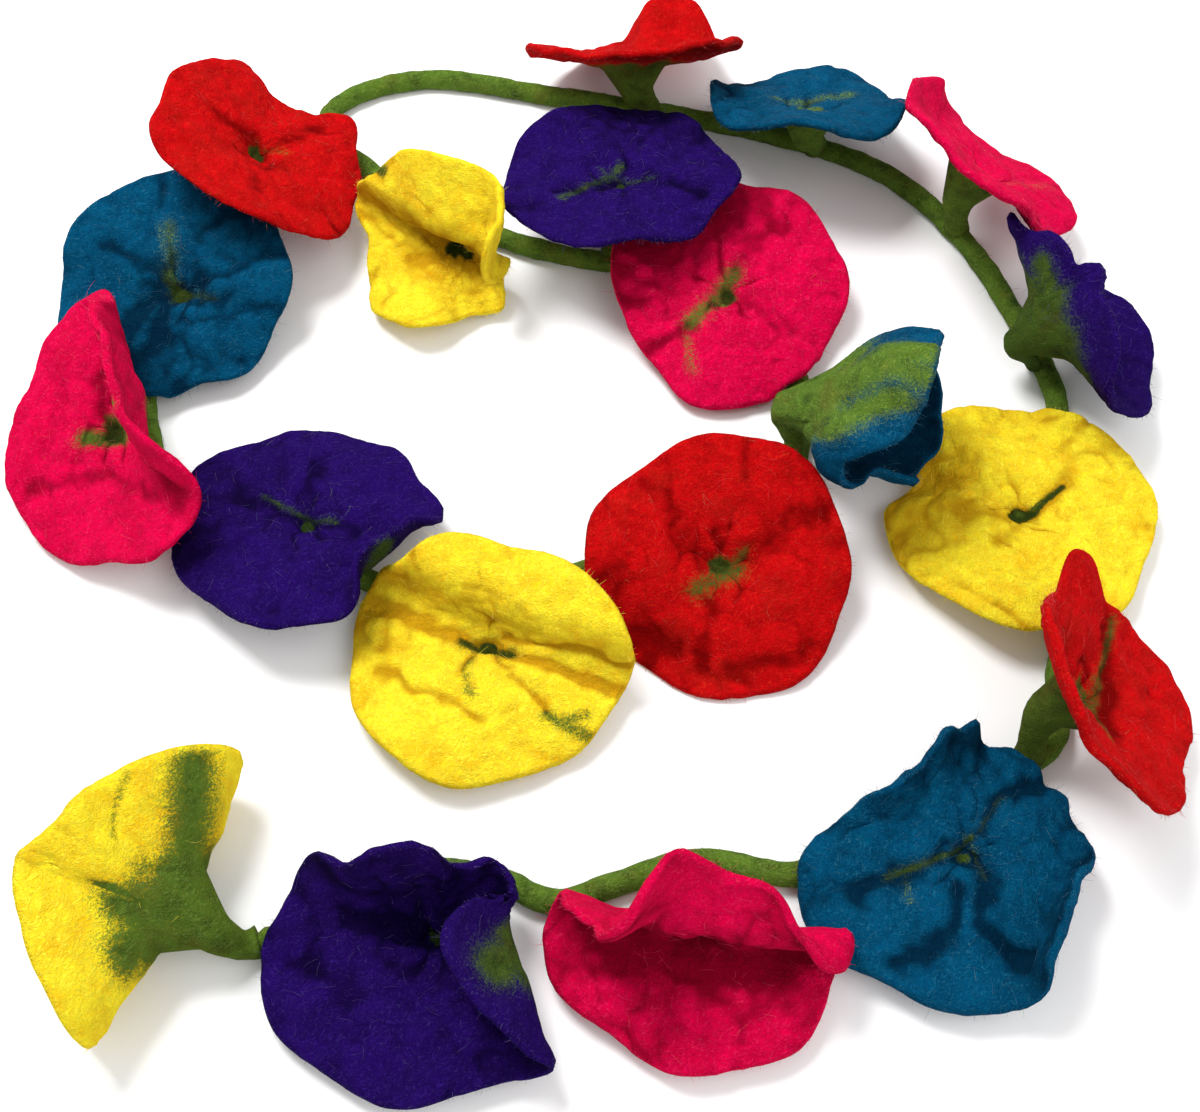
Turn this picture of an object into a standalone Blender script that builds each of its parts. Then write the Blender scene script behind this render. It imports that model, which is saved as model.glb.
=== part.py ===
"""Felt flower garland: twenty wet-felted flowers on one green felt cord, laid in a loose spiral.

Every flower is one piece of felt. A wavy round bloom narrows into a funnel at its throat, and
behind the throat a calyx tapers into a short stalk that is felted to the cord.
Metres, +Z up, +X to the right and +Y away from the viewer. The garland lies on the plane z = 0,
and the origin is under its middle.
"""
import math
from collections import namedtuple

import bpy
import numpy as np
from mathutils import Vector

MM = 0.001

Wave = namedtuple("Wave", "count toward inner rim")
Lift = namedtuple("Lift", "toward spread start angle")
Fold = namedtuple("Fold", "toward at bend angle along reach")
Lobe = namedtuple("Lobe", "toward spread stretch")
Flower = namedtuple("Flower", "name colour x y z azimuth elevation radius inner rim shape")
Fineness = namedtuple("Fineness", "segments front_shares back_shares")

# Driving sizes, in metres
MIDDLE = np.array((-3.0, 39.0, 0.0)) * MM
FELT = 3.0 * MM
CORD_DIAMETER = 8.0 * MM
CORD_POINTS = 72
CORD_SIDES_RESOLUTION = 2
GAP = 0.5 * MM
COVER = 1.0 * MM
RIDGE_TOP = 5.5 * MM
RIDGE_FOOT = 15.0 * MM
NECK = 5.0 * MM
FUNNEL_SLOPE = 26
LIFT_SHARE = 0.3
CALYX_START = 0.26
CALYX_SHARE = 0.75
STALK_RADIUS = 4.2 * MM
STALK_REACH = 17.0 * MM

# How finely each flower's felt is worked out, and which of those lines become edges of the solid
FINE_STEPS = 60
FINE_TURNS = 120
BEND_STEPS = 32
OPEN_FINENESS = Fineness(20, (0.07, 0.18, 0.34, 0.55, 0.78, 0.975), (0.975, 0.75, 0.5))
FOLDED_FINENESS = Fineness(24, (0.07, 0.18, 0.32, 0.46, 0.60, 0.74, 0.87, 0.975),
                           (0.975, 0.84, 0.68, 0.52, 0.38))
STALK_STEPS = 20
STALK_RINGS = (5, 10, 15, 20)

FELT_COLOURS = {
    "red": (0.62, 0.006, 0.010),
    "teal": (0.0, 0.125, 0.30),
    "pink": (0.84, 0.002, 0.10),
    "purple": (0.032, 0.006, 0.26),
    "yellow": (0.95, 0.72, 0.015),
    "green": (0.075, 0.14, 0.022),
}
FELT_ROUGHNESS = 0.95

# Throat places, radii, fold distances and bend radii are in millimetres and angles in degrees. A
# bloom faces its azimuth and elevation. Toward 0 is +X and 90 is +Y. inner and rim are the felt's
# slope outside the throat and at the rim. A wave bends the felt up and down count times on its way
# round, most at toward. A lift curls the felt beyond start, a share of the radius. A fold bends the
# felt over a straight line at a distance from the throat, within reach of a place along that line.
# A lobe lets the rim out or in.
FLOWERS = (
    Flower("flower_01_red", "red", 15, 220, 21, 92, 49, 47, 8, 6,
           (Lift(64, 34, 0.3, 40), Lobe(64, 30, 0.08), Wave(3, 80, 0, 5), Lift(0, 40, 0.6, 14))),
    Flower("flower_02_teal", "teal", 85, 192, 24, 90, 60, 42, 2, -4,
           (Wave(4, -105, 0, 9), Lift(178, 35, 0.6, 20), Lift(90, 90, 0.2, 8))),
    Flower("flower_03_pink", "pink", 145, 152, 30, 36, 50, 46, 9, 4,
           (Lift(140, 45, 0.5, 36), Lift(-50, 45, 0.5, -25), Lobe(-50, 40, -0.14),
            Wave(4, 200, 0, 6))),
    Flower("flower_04_purple", "purple", 161, 81, 25, 14, 34, 47, 22, 30,
           (Lobe(194, 60, -0.22), Lobe(60, 34, -0.12), Lobe(148, 34, -0.2), Lobe(-20, 50, 0.06),
            Lobe(106, 20, 0.08), Wave(2, 104, -14, -22), Wave(3, 60, 0, 6),
            Lift(194, 88, 0.3, 28))),
    Flower("flower_05_yellow", "yellow", 149, 12, 9, 90, 87, 50, -2, -10,
           (Wave(3, 20, 0, 6), Wave(2, 90, 0, 5), Lobe(150, 30, -0.25))),
    Flower("flower_06_red", "red", 149, -70, 32, 4, 47, 50, 12, 12,
           (Lobe(58, 34, -0.2), Lobe(136, 40, -0.3), Lobe(-50, 46, -0.1), Lobe(6, 40, -0.02),
            Lobe(-104, 30, 0.02), Lobe(196, 34, 0.08), Wave(3, -40, 0, 3),
            Lift(180, 75, 0.4, 14), Lift(-100, 36, 0.5, 24))),
    Flower("flower_07_teal", "teal", 115, -114, 9, -90, 88, 51, -3, -11,
           (Wave(3, 250, 0, 5), Lobe(-4, 54, -0.24), Lobe(54, 28, -0.21), Lobe(84, 22, -0.14),
            Lobe(106, 28, -0.1), Lobe(140, 46, -0.24), Lobe(195, 40, 0.08),
            Fold(128, 14, 18, 70, -11, 44), Fold(-30, 20, 16, 100, -8, 40))),
    Flower("flower_08_pink", "pink", 29, -135, 9, -90, 88, 48, -4, -12,
           (Lobe(50, 44, -0.18), Lobe(-100, 60, -0.06), Lobe(150, 36, -0.16),
            Fold(34, 30, 18, 108, 0, 200), Fold(82, -8, 14, 124, 0, 200),
            Fold(82, 8, 14, -64, -7, 34))),
    Flower("flower_09_purple", "purple", -51, -140, 9, -120, 87, 52, -4, -10,
           (Lobe(-14, 50, 0.14), Lobe(52, 50, -0.4), Lobe(105, 50, -0.12), Lobe(150, 36, -0.12),
            Lobe(190, 40, 0.06), Lobe(-90, 50, -0.07), Fold(14, 18, 16, 140, 0, 200),
            Fold(100, 4, 16, 84, 0, 46))),
    Flower("flower_10_yellow", "yellow", -123, -136, 18, 155, 12, 53, 42, 44,
           (Wave(2, -25, 30, 28), Wave(4, -25, -10, -8), Wave(3, 60, 0, 8), Lobe(245, 50, -0.1),
            Lobe(65, 40, -0.05))),
    Flower("flower_11_red", "red", -135, 166, 29, 9, 58, 47, 6, 0,
           (Wave(3, 150, 0, 8), Lobe(76, 34, -0.3), Lobe(5, 40, -0.1), Lobe(165, 40, -0.08))),
    Flower("flower_12_teal", "teal", -161, 107, 14, -90, 72, 47, 4, -4,
           (Wave(3, 20, 0, 6), Wave(5, 0, 0, 5), Lobe(110, 60, 0.1), Lobe(-45, 60, -0.14))),
    Flower("flower_13_pink", "pink", -173, 40, 17, 215, 66, 51, 4, 0,
           (Wave(3, 70, 0, 6), Lobe(112, 36, 0.12), Lobe(180, 60, -0.14), Lobe(-50, 40, 0.14),
            Fold(15, 6, 18, 78, 12, 66))),
    Flower("flower_14_purple", "purple", -103, 6, 10, 95, 79, 49, 0, -8,
           (Wave(3, 30, 0, 5), Lobe(45, 40, -0.12), Fold(-35, 24, 18, 95, 0, 30))),
    Flower("flower_15_yellow", "yellow", -38, -41, 9, -90, 88, 50, -4, -10,
           (Wave(3, 0, 0, 6), Lobe(95, 80, -0.16), Fold(69, 0, 12, 75, 0, 200),
            Fold(69, 16, 14, -50, 0, 200))),
    Flower("flower_16_red", "red", 41, -12, 13, -90, 66, 47, 4, -6,
           (Wave(3, 60, 0, 6), Wave(4, 0, 0, 5))),
    Flower("flower_17_teal", "teal", 74, 41, 33, -22, 14, 52, 2, 92,
           (Wave(2, -22, 16, 2), Wave(4, -22, -4, -8), Wave(3, -60, 0, 8), Lobe(-100, 56, -0.32),
            Lobe(158, 40, 0.08), Lobe(100, 40, 0.06), Lobe(-30, 36, -0.04))),
    Flower("flower_18_pink", "pink", 49, 111, 10, -80, 78, 47, 2, -6,
           (Wave(3, 30, 0, 5), Wave(2, 0, 0, 5), Lobe(90, 60, 0.14), Lobe(-90, 60, 0.06),
            Lobe(215, 40, -0.08))),
    Flower("flower_19_purple", "purple", 8, 151, 28, 90, 82, 47, 2, -4,
           (Wave(3, 10, 0, 7), Wave(5, 60, 0, 6), Lobe(-55, 50, -0.14))),
    Flower("flower_20_yellow", "yellow", -56, 136, 8, -90, 88, 45, -3, -10,
           (Wave(4, 250, 0, 12), Lobe(-55, 60, -0.22), Lobe(-26, 34, -0.26), Lobe(148, 26, 0.05),
            Lobe(190, 36, -0.14), Fold(-5, 20, 14, 82, 0, 200), Fold(60, -7, 14, 124, 0, 200),
            Fold(60, 9, 14, -74, 0, 200))),
)

# The cord's route along the floor, in millimetres, from the flower at its end inwards
CORD_ROUTE = (
    (-106, -140), (-92, -136), (-74, -124), (-52, -117), (-32, -120), (-14, -127), (6, -121),
    (30, -114), (63, -118), (84, -106), (108, -92), (134, -84), (150, -73), (154, -54),
    (160, -28), (166, 12), (171, 48), (171, 75), (161, 110), (145, 148), (122, 178), (95, 195),
    (60, 208), (17, 219), (-26, 228), (-50, 234), (-74, 237), (-99, 231), (-115, 217),
    (-113, 198), (-98, 185), (-74, 165), (-37, 145), (-10, 136), (20, 130), (44, 126), (61, 114),
    (71, 92), (76, 70), (74, 47), (69, 26), (58, 10), (40, 3), (18, 0), (-8, -10),
    (-36, -22), (-66, -18), (-88, -10), (-112, -8), (-134, 2), (-152, 18), (-163, 38),
    (-170, 60), (-173, 82), (-173, 104), (-164, 126), (-149, 146), (-138, 160),
)


def cord_points(count):
    """Points at even steps along a smooth curve through the cord's route."""
    route = np.array([(x, y, CORD_DIAMETER / MM / 2) for x, y in CORD_ROUTE]) * MM - MIDDLE
    ends = np.vstack((2 * route[0] - route[1], route, 2 * route[-1] - route[-2]))
    fine = []
    for before, start, end, after in zip(ends, ends[1:], ends[2:], ends[3:]):
        for share in np.linspace(0, 1, 20, endpoint=False):
            fine.append(0.5 * (2 * start + (end - before) * share
                               + (2 * before - 5 * start + 4 * end - after) * share ** 2
                               + (3 * start - before - 3 * end + after) * share ** 3))
    return between(np.array(fine + [route[-1]]), count)


def between(line, count):
    """Points at even steps along a line through given points."""
    run = np.concatenate(([0], np.cumsum(np.linalg.norm(np.diff(line, axis=0), axis=1))))
    wanted = np.linspace(0, run[-1], count)
    return np.column_stack([np.interp(wanted, run, line[:, axis]) for axis in range(3)])


def ground(x, y, cord):
    """Height of what the felt lies on: the floor, rising over the cord."""
    gaps = np.stack([np.hypot(x - px, y - py) for px, py, _ in cord]).min(axis=0)
    return (CORD_DIAMETER + COVER) * (1 - ease((gaps - RIDGE_TOP) / (RIDGE_FOOT - RIDGE_TOP)))


def rows(flower, kind):
    return [row for row in flower.shape if isinstance(row, kind)]


def window(turn, row):
    """How much a row acts in a direction: fully toward its own, and nothing past its spread."""
    off = (turn - math.radians(row.toward) + math.pi) % math.tau - math.pi
    return ease(1.6 * (1 - np.abs(off) / math.radians(row.spread)))


def ease(value):
    value = np.clip(value, 0, 1)
    return value * value * (3 - 2 * value)


def felt_slope(flower, share, turn):
    """Angle in radians between the felt and the plane across the bloom's axis."""
    along = share * flower.radius * MM / NECK
    throat = FUNNEL_SLOPE * along * np.exp(1 - along)
    opened = ease(share / 0.25)
    angle = throat + opened * (flower.inner * (1 - share) + flower.rim * share)
    for wave in rows(flower, Wave):
        turned = np.cos(wave.count * (turn - math.radians(wave.toward)))
        angle = angle + opened * (wave.inner * (1 - share) + wave.rim * share) * turned
    for lift in rows(flower, Lift):
        angle = angle + lift.angle * window(turn, lift) * ease((share - lift.start) / LIFT_SHARE)
    return np.radians(angle)


def folded(flower, points):
    """Points of the bloom, bent over its fold lines, all folds of one direction together."""
    folds = rows(flower, Fold)
    level = np.median(points[..., 2])
    for toward in dict.fromkeys(fold.toward for fold in folds):
        group = [fold for fold in folds if fold.toward == toward]
        turn = math.radians(toward)
        over = np.array((math.cos(turn), math.sin(turn), 0))
        side = np.array((-math.sin(turn), math.cos(turn), 0))
        first = min(fold.at for fold in group) * MM
        along, past = points @ side, np.maximum(points @ over - first, 0)

        def angle(distance):
            return sum(math.radians(fold.angle)
                       * ease(1.6 * (1 - np.abs(along / MM - fold.along) / fold.reach))
                       * ease((distance / MM + first / MM - fold.at) / fold.bend)
                       for fold in group)

        middles = [angle(past * (step + 0.5) / BEND_STEPS) for step in range(BEND_STEPS)]
        reached = sum(np.cos(slope) for slope in middles) * past / BEND_STEPS
        raised = sum(np.sin(slope) for slope in middles) * past / BEND_STEPS
        slope, height = angle(past), points[..., 2] - level
        points = points + (reached - past - height * np.sin(slope))[..., None] * over
        points[..., 2] = level + raised + height * np.cos(slope)
    return points


def flower_axes(flower):
    """The bloom's own X and Y across its axis, and the axis itself, as world directions."""
    azimuth, elevation = math.radians(flower.azimuth), math.radians(flower.elevation)
    axis = Vector((math.cos(elevation) * math.cos(azimuth),
                   math.cos(elevation) * math.sin(azimuth), math.sin(elevation)))
    turn = Vector((0, 0, 1)).rotation_difference(axis).to_matrix()
    return np.array(turn.col[0]), np.array(turn.col[1]), np.array(axis)


def felt_grid(flower, cord):
    """Middle of the felt, and its normal, on lines from throat to rim and round the bloom."""
    share = np.linspace(0, 1, FINE_STEPS + 1)[:, None]
    turn = (np.arange(FINE_TURNS) * math.tau / FINE_TURNS)[None, :]
    slope = felt_slope(flower, share, turn)
    stretch = 1 + 0.03 * np.cos(3 * turn + flower.x) + 0.02 * np.cos(7 * turn)
    for lobe in rows(flower, Lobe):
        stretch = stretch + lobe.stretch * window(turn, lobe)
    step = flower.radius * MM * stretch / FINE_STEPS
    out = np.cumsum(np.cos(slope) * step, axis=0) - np.cos(slope[:1]) * step
    rise = np.cumsum(np.sin(slope) * step, axis=0) - np.sin(slope[:1]) * step
    points = folded(flower, np.stack((out * np.cos(turn), out * np.sin(turn), rise), axis=-1))
    throat = np.array((flower.x, flower.y, flower.z)) * MM - MIDDLE
    place = throat + points @ np.array(flower_axes(flower))
    axis = flower_axes(flower)[2]
    lowest = ground(place[..., 0], place[..., 1], cord) + FELT / 2
    place[..., 2] = np.maximum(place[..., 2], lowest)
    outward = np.gradient(place, axis=0)
    around = np.roll(place, -1, axis=1) - np.roll(place, 1, axis=1)
    normal = np.cross(outward, around)
    length = np.linalg.norm(normal, axis=-1, keepdims=True)
    normal = np.where(length > 1e-12, normal / np.maximum(length, 1e-12), axis)
    return place, normal


def stalk_seat(throat, axis, cord):
    """Where a stalk ends, and its direction there: beside the cord, or facing one of its ends."""
    seat = throat - axis * STALK_REACH
    nearest = int(np.argmin(np.linalg.norm(cord - seat, axis=1)))
    inner = min(max(nearest, 1), len(cord) - 2)
    along = cord[inner + 1] - cord[inner - 1]
    along = along / np.linalg.norm(along)
    if nearest == 0:
        return cord[0] - along * GAP, -along
    if nearest == len(cord) - 1:
        return cord[-1] + along * GAP, along
    toward = throat - axis * FELT - cord[nearest]
    toward = toward - along * (toward @ along)
    toward = toward / np.linalg.norm(toward)
    return cord[nearest] + toward * (CORD_DIAMETER / 2 + GAP), toward


def stalk_rings(place, normal, cord, segments):
    """Rings of the calyx and stalk, from behind the throat to the cord."""
    throat = place[0].mean(axis=0)
    axis = normal[1:8].mean(axis=(0, 1))
    axis = axis / np.linalg.norm(axis)
    across = place[3, 0] - throat
    across = across - axis * (across @ axis)
    across = across / np.linalg.norm(across)
    calyx = place[round(CALYX_START * FINE_STEPS)] - throat
    calyx = calyx - (calyx @ axis)[:, None] * axis
    calyx_radius = CALYX_SHARE * np.linalg.norm(calyx, axis=1).mean()
    start = throat - axis * FELT / 2
    end, toward = stalk_seat(throat, axis, cord)
    reach = np.linalg.norm(end - start)
    first, second = start - axis * reach * 0.4, end + toward * reach * 0.4
    share = np.linspace(0, 1, STALK_STEPS + 1)[:, None]
    path = ((1 - share) ** 3 * start + 3 * (1 - share) ** 2 * share * first
            + 3 * (1 - share) * share ** 2 * second + share ** 3 * end)
    path[1:-1, 2] = np.maximum(path[1:-1, 2], STALK_RADIUS)
    tangents = np.gradient(path, axis=0)
    tangents[-1] = -toward
    rings = []
    frame_x, frame_y, before = Vector(across), Vector(np.cross(axis, across)), Vector(-axis)
    for step in range(1, STALK_STEPS + 1):
        tangent = Vector(tangents[step]).normalized()
        bend = before.rotation_difference(tangent)
        frame_x.rotate(bend)
        frame_y.rotate(bend)
        before = tangent
        if step in STALK_RINGS:
            narrow = (1 - step / STALK_STEPS) ** 2
            radius = STALK_RADIUS + max(calyx_radius - STALK_RADIUS, 0) * narrow
            turns = np.arange(segments)[:, None] * math.tau / segments
            ring = path[step] + radius * (np.cos(turns) * np.array(frame_x)
                                          + np.sin(turns) * np.array(frame_y))
            ahead = (ring - throat) @ axis + FELT / 2 + GAP * (1 + len(rings))
            rings.append(ring - np.maximum(ahead, 0)[:, None] * axis)
    return rings


def flower_rings(flower, cord):
    """All rings of one flower's solid, from its throat over the rim to the stalk's end."""
    place, normal = felt_grid(flower, cord)
    fineness = FOLDED_FINENESS if rows(flower, Fold) else OPEN_FINENESS
    every = slice(None, None, FINE_TURNS // fineness.segments)

    def ring(share, side):
        row = round(share * FINE_STEPS)
        return place[row, every] + side * FELT / 2 * normal[row, every]

    rings = [ring(share, 1) for share in fineness.front_shares]
    rings.append(ring(1.0, 0))
    rings += [ring(share, -1) for share in (*fineness.back_shares, CALYX_START)]
    rings += stalk_rings(place, normal, cord, fineness.segments)
    for points in rings:
        points[:, 2] = np.maximum(points[:, 2], 0)
    return rings


def solid_from_rings(name, rings):
    """A closed mesh lofted through rings, with a fan at each end."""
    count = len(rings[0])
    points = np.vstack((rings[0].mean(axis=0), *rings, rings[-1].mean(axis=0)))
    faces = [(0, 1 + i, 1 + (i + 1) % count) for i in range(count)]
    for level in range(len(rings) - 1):
        base = 1 + level * count
        for i in range(count):
            j = (i + 1) % count
            faces.append((base + i, base + count + i, base + count + j, base + j))
    base, last = 1 + (len(rings) - 1) * count, len(points) - 1
    faces += [(base + i, last, base + (i + 1) % count) for i in range(count)]
    mesh = bpy.data.meshes.new(name)
    mesh.from_pydata([tuple(point) for point in points], [], faces)
    mesh.shade_smooth()
    return mesh


def felt_material(colour):
    material = bpy.data.materials.new(f"{colour}_felt")
    material.use_nodes = True
    surface = material.node_tree.nodes["Principled BSDF"]
    surface.inputs["Base Color"].default_value = (*FELT_COLOURS[colour], 1)
    surface.inputs["Roughness"].default_value = FELT_ROUGHNESS
    surface.inputs["Metallic"].default_value = 0
    return material


def make_flower(flower, cord, material, collection):
    mesh = solid_from_rings(flower.name, flower_rings(flower, cord))
    mesh.materials.append(material)
    collection.objects.link(bpy.data.objects.new(flower.name, mesh))


def make_cord(points, material, collection):
    curve = bpy.data.curves.new("cord", "CURVE")
    curve.dimensions = "3D"
    curve.twist_mode = "Z_UP"
    curve.bevel_depth = CORD_DIAMETER / 2
    curve.bevel_resolution = CORD_SIDES_RESOLUTION
    curve.use_fill_caps = True
    line = curve.splines.new("POLY")
    line.points.add(len(points) - 1)
    for point, place in zip(line.points, points):
        point.co = (*place, 1)
    curve.materials.append(material)
    collection.objects.link(bpy.data.objects.new("cord", curve))


def main():
    for thing in list(bpy.data.objects):
        bpy.data.objects.remove(thing)
    collection = bpy.data.collections.new("felt_flower_garland")
    bpy.context.scene.collection.children.link(collection)
    materials = {colour: felt_material(colour) for colour in FELT_COLOURS}
    cord = cord_points(CORD_POINTS)
    close_cord = between(cord, CORD_POINTS * 8)
    make_cord(cord, materials["green"], collection)
    for flower in FLOWERS:
        make_flower(flower, close_cord, materials[flower.colour], collection)


main()
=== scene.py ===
"""Looks of the felt flower garland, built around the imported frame.

Every flower is worked out again from the shape that its solid has, on a finer grid, and gets the
wrinkles, creases, ragged rim, stains of green wool and loose fibres of wet felting. The cord is a
lumpy felted tube along the same route. Metres, in the frame's own axes.
"""
import math
from collections import namedtuple

import bpy
import numpy as np
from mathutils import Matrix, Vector, noise
from mathutils.bvhtree import BVHTree


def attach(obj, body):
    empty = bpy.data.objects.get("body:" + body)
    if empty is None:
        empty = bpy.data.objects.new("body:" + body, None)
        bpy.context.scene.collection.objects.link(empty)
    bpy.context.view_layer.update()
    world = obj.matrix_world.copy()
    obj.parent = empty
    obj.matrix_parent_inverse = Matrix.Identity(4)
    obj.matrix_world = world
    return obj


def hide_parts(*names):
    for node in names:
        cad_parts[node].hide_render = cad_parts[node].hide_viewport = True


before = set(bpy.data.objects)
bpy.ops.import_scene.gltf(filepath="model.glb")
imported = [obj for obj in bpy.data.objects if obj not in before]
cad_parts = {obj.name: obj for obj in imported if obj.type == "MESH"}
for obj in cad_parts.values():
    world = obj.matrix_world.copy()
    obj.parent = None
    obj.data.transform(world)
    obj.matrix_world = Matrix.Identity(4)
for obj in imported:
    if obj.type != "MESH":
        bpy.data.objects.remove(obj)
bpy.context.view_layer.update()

MM = 0.001

Wave = namedtuple("Wave", "count toward inner rim")
Lift = namedtuple("Lift", "toward spread start angle")
Fold = namedtuple("Fold", "toward at bend angle along reach")
Lobe = namedtuple("Lobe", "toward spread stretch")
Flower = namedtuple("Flower", "name x y z azimuth elevation radius inner rim shape")
Streak = namedtuple("Streak", "start end front width strength")
Wool = namedtuple("Wool", "deep dark main light accent accent_share green_dark")

# What the solids share: lengths in metres, slopes in degrees, and shares of the radius
MIDDLE = np.array((-3.0, 39.0, 0.0)) * MM
FELT = 3.0 * MM
CORD_DIAMETER = 8.0 * MM
CORD_POINTS = 72
CORD_FINER = 8
CURVE_STEPS = 20
COVER = 1.0 * MM
RIDGE_TOP = 5.5 * MM
RIDGE_FOOT = 15.0 * MM
NECK = 5.0 * MM
FUNNEL_SLOPE = 26
OPEN_SHARE = 0.25
LIFT_SHARE = 0.3
WINDOW_EDGE = 1.6
BEND_STEPS = 32
RIM_WAVES = ((0.03, 3), (0.02, 7))
CALYX_START = 0.26
CALYX_SHARE = 0.75
STALK_RADIUS = 4.2 * MM
STALK_REACH = 17.0 * MM
STALK_CURVE = 0.4
WELD = 1.2 * MM
WELD_FLARE = 1.25
WELD_LENGTH = 0.2

# How finely the felt and the cord are worked out, which lines of the grid are used for what, and
# the gaps in metres that are kept between rings and above the floor
FELT_STEPS = 56
FELT_TURNS = 168
CALYX_LINE = round(CALYX_START * FELT_STEPS)
AXIS_LINES = 8
ACROSS_LINE = 3
STALK_STEPS = 20
FIRST_RING = 4
RING_GAP = 0.3 * MM
TUBE_POINTS = 900
TUBE_SIDES = 18
STALK_CLEARANCE = 0.1 * MM
FLOOR_CLEARANCE = 0.05 * MM
TINY = 1e-12

# Lumps: pairs of a wavelength and a height, in millimetres. GREEN_EDGE moves the green wool's edge.
LUMPS = ((17.0, 1.4), (8.0, 0.65), (3.6, 0.35))
CORD_LUMPS = ((14.0, 0.55), (5.0, 0.45), (2.5, 0.2))
STALK_LUMPS = (6, 0.6)
WRINKLES = ((30.0, 0.9), (13.0, 0.5))
RAGGED_RIM = ((2.2, 0.8), (5.0, 1.2), (13.0, 1.5))
GREEN_EDGE = ((9, 4), (3.5, 1.5))

# Other relief: lengths in millimetres, the rim's in shares of the radius, the pleats' sway in
# radians, and the wrinkles' width and edge in the values of their noise
RIM_START = 0.6
RIM_ROUND = 0.035
WRINKLE_WIDTH = 0.15
WRINKLE_PATCH = 1.7
WRINKLE_EDGE = 1.6
CREASE_SWAY = 2.4
CREASE_WINDING = 9
THICKNESS_CHANGE = 0.25
THICKNESS_LUMP = 5.0
THROAT_PIT = 1.8
THROAT_WIDTH = 4.5
THROAT_SMOOTH = 2.5
PLEATS = 5
PLEAT_DEPTH = 1.5
PLEAT_SWAY = 5
PLEAT_WINDING = 14
PLEAT_PLACE = 9
PLEAT_REACH = 7

# Painted shade from the relief: valleys DENT_FULL millimetres deep are fully shaded, and the others
# count as valleys
DENT_FULL = 2.0
PIT_DARK = 0.6
WRINKLE_DARK = 0.4
HOLLOW_REACH = 4
HOLLOW_DARK = 1.6
BACK_DARK = 0.5

# How other felt shades a place: rays to the sides of it, on every few lines of the grid
SHELTER_STEP = 4
SHELTER_RAYS = 36
SHELTER_SPREAD = 0.95
SHELTER_START = 3.2 * MM
SHELTER_REACH = 70 * MM
SHELTER_DARK = 1.6

# Seeds of random draws and, added to a flower's own seed, of the noises on it, and how far a
# seed moves a noise
SEED_SHIFT = (31.7, 17.3, 7.9)
SHELTER_SEED = 7
CORD_LUMP_SEED = 50
CORD_FIBRE_SEED = 99
FLOWER_FIBRE_SEED = 100
EDGE_SEED = 3
PLEAT_SEED = 5
THICKNESS_SEED = 9
WRINKLE_SEED = 11
WRINKLE_PATCH_SEED = 12
WINDING_SEEDS = (21, 22, 23)

# Loose fibres on each flower, out of its rim, and on the cord. Lengths are in millimetres: a
# stray's is between two values, and the others follow the shape and scale of a gamma law. Curls,
# stands, leans and bends are shares of the length. Twice as many strays lie on the front.
STRAY_FIBRES = 150
STRAY_RADIUS = 0.042 * MM
STRAY_POINTS = 6
STRAY_LINE = 6
STRAY_SIDES = (1, 1, -1)
STRAY_LENGTH = (2.0, 6.5)
STRAY_CURL = 0.7
STRAY_STAND = (0.02, 0.2)
RIM_FIBRES = 1300
RIM_LINE = -3
RIM_LENGTH = (2.0, 0.32)
RIM_LEAN = 0.6
RIM_ASIDE = 0.8
RIM_GAP = 0.4 * MM
CORD_FIBRES = 2600
CORD_FIBRE_LENGTH = (2.0, 0.6)
CORD_FIBRE_LEAN = 0.8
CORD_FIBRE_STAND = 0.8
CORD_FIBRE_BEND = 0.35
FIBRE_RADIUS = 0.055 * MM
CORD_FIBRE_POINTS = 3
FIBRE_TAPER = 0.6
NEARLY_UPRIGHT = 0.9

# How steeply the cord narrows at its ends, and the least share of its section left there
CORD_END = (500, 0.3)

# The photograph in pixels, the camera that took it, with its distance in metres, and how many
# pixels from a mark the felt still counts as its place
PHOTO_WIDTH = 1200
PHOTO_HEIGHT = 1112
CAMERA_FOCUS = 1483
CAMERA_ELEVATION = math.radians(60)
CAMERA_BACK = np.array((0, -math.cos(CAMERA_ELEVATION), math.sin(CAMERA_ELEVATION)))
CAMERA_UP = np.array((0, math.sin(CAMERA_ELEVATION), math.cos(CAMERA_ELEVATION)))
CAMERA_DISTANCE = 0.53
SENSOR = 36
NEAREST_SEEN = 0.01
SAME_SPOT = 6

# The stage: how far its floor reaches in metres, its white surroundings, and each lamp's place,
# size and power
FLOOR_REACH = 2
PAPER = ((0.90, 0.90, 0.905), (0.93, 0.93, 0.93))
WORLD_STRENGTH = 0.70
LIGHTS = (("key", (-0.40, 0.42, 1.05), 0.45, 14.5), ("fill", (0.7, -0.5, 0.9), 1.0, 6.0))

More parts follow.
